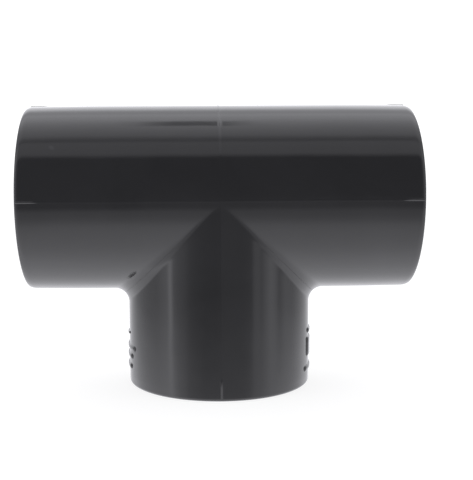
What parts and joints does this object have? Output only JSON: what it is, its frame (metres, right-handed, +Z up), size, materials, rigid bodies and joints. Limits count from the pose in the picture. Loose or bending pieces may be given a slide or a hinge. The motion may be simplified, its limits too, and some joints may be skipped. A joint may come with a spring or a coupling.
{
  "type": "pvc tee fitting",
  "caption": "Equal 90 degree pipe tee in dark grey plastic with plain solvent-weld sockets, for 25 mm pressure pipe.",
  "frame": {"origin": "centre of the branch mouth, on the surface that the tee stands on", "axes": "+Z up along the branch axis towards the run, X along the run, -Y the front"},
  "size_m": [0.066, 0.0322, 0.0488],
  "materials": {
    "dark_grey_pvc": "gloss moulded"
  },
  "bodies": {
    "root": {"tee_hub": "dark_grey_pvc", "left_socket": "dark_grey_pvc", "right_socket": "dark_grey_pvc", "branch_socket": "dark_grey_pvc", "left_mouth_ribs": "dark_grey_pvc", "right_mouth_ribs": "dark_grey_pvc", "branch_mouth_ribs": "dark_grey_pvc", "left_raised_marks": "dark_grey_pvc", "right_raised_marks": "dark_grey_pvc"}
  },
  "joints": []
}
